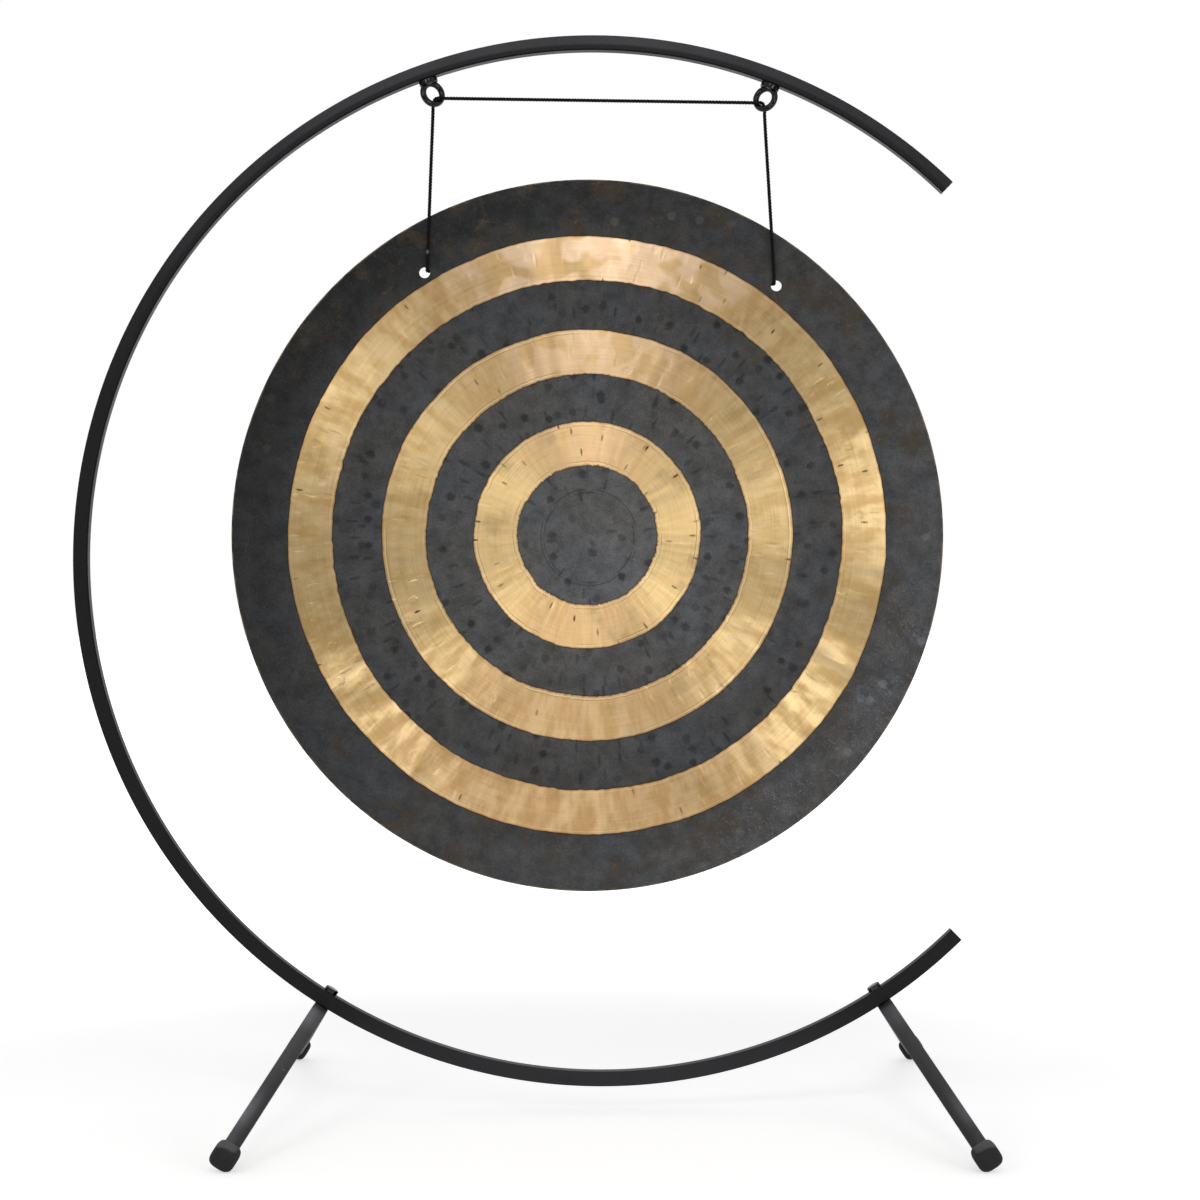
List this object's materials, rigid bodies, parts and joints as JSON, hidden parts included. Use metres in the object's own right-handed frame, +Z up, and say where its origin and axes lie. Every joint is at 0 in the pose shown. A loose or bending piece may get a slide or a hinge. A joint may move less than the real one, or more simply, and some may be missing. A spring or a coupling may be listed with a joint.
{
  "type": "gong stand",
  "caption": "Free-standing C-shaped stand of square steel bar with a flat banded brass gong hung on one loop of cord from eye bolts, on bent bolted feet with rubber caps.",
  "frame": {"origin": "on the floor, under the middle of the part's box", "axes": "+Z up, +X towards the open side of the ring, -Y out of the gong's front"},
  "size_m": [0.7572, 0.521, 0.9161],
  "materials": {
    "ring_paint": "smooth satin black enamel",
    "foot_paint": "satin black paint with a fine grain",
    "eye_paint": "gloss black",
    "bolt_black": "black oxide",
    "cap_rubber": "matt black rubber",
    "cord_braid": "black braided cord",
    "gong_brass": "hammered brass, black patina with three lathe-turned bright bands"
  },
  "bodies": {
    "stand": {"ring_bar": "ring_paint", "eye_bolt_left": "eye_paint", "eye_bolt_right": "eye_paint", "foot_bolt_left": "bolt_black", "foot_bolt_right": "bolt_black", "foot_spring_washer_left": "bolt_black", "foot_spring_washer_right": "bolt_black", "foot_nut_left": "bolt_black", "foot_nut_right": "bolt_black", "cord_top_run": "cord_braid"},
    "foot_left": {"foot_bar_left": "foot_paint", "rubber_cap_front_left": "cap_rubber", "rubber_cap_rear_left": "cap_rubber"},
    "foot_right": {"foot_bar_right": "foot_paint", "rubber_cap_front_right": "cap_rubber", "rubber_cap_rear_right": "cap_rubber"},
    "hanger": {"cord_drop_left": "cord_braid", "cord_drop_right": "cord_braid"},
    "gong": {"gong_disc": "gong_brass", "cord_back_run": "cord_braid"}
  },
  "joints": [
    {"name": "gong_swing", "type": "hinge", "parent": "stand", "child": "hanger", "pos_m": [0.06936, 0.00314, 0.85159], "axis": [0.9999, 0, -0.0143], "range_deg": [-45, 45]},
    {"name": "gong_tilt", "type": "hinge", "parent": "hanger", "child": "gong", "pos_m": [0.07104, 0.00314, 0.7167], "axis": [0.9993, 0, -0.0372], "range_deg": [-30, 5]},
    {"name": "foot_left_swivel", "type": "hinge", "parent": "stand", "child": "foot_left", "pos_m": [-0.1667, 0, 0.0891], "axis": [-0.5297, 0, -0.8482], "range_deg": [-90, 90]},
    {"name": "foot_right_swivel", "type": "hinge", "parent": "stand", "child": "foot_right", "pos_m": [0.31226, 0, 0.09199], "axis": [0.5477, 0, -0.8367], "range_deg": [-90, 90]}
  ]
}
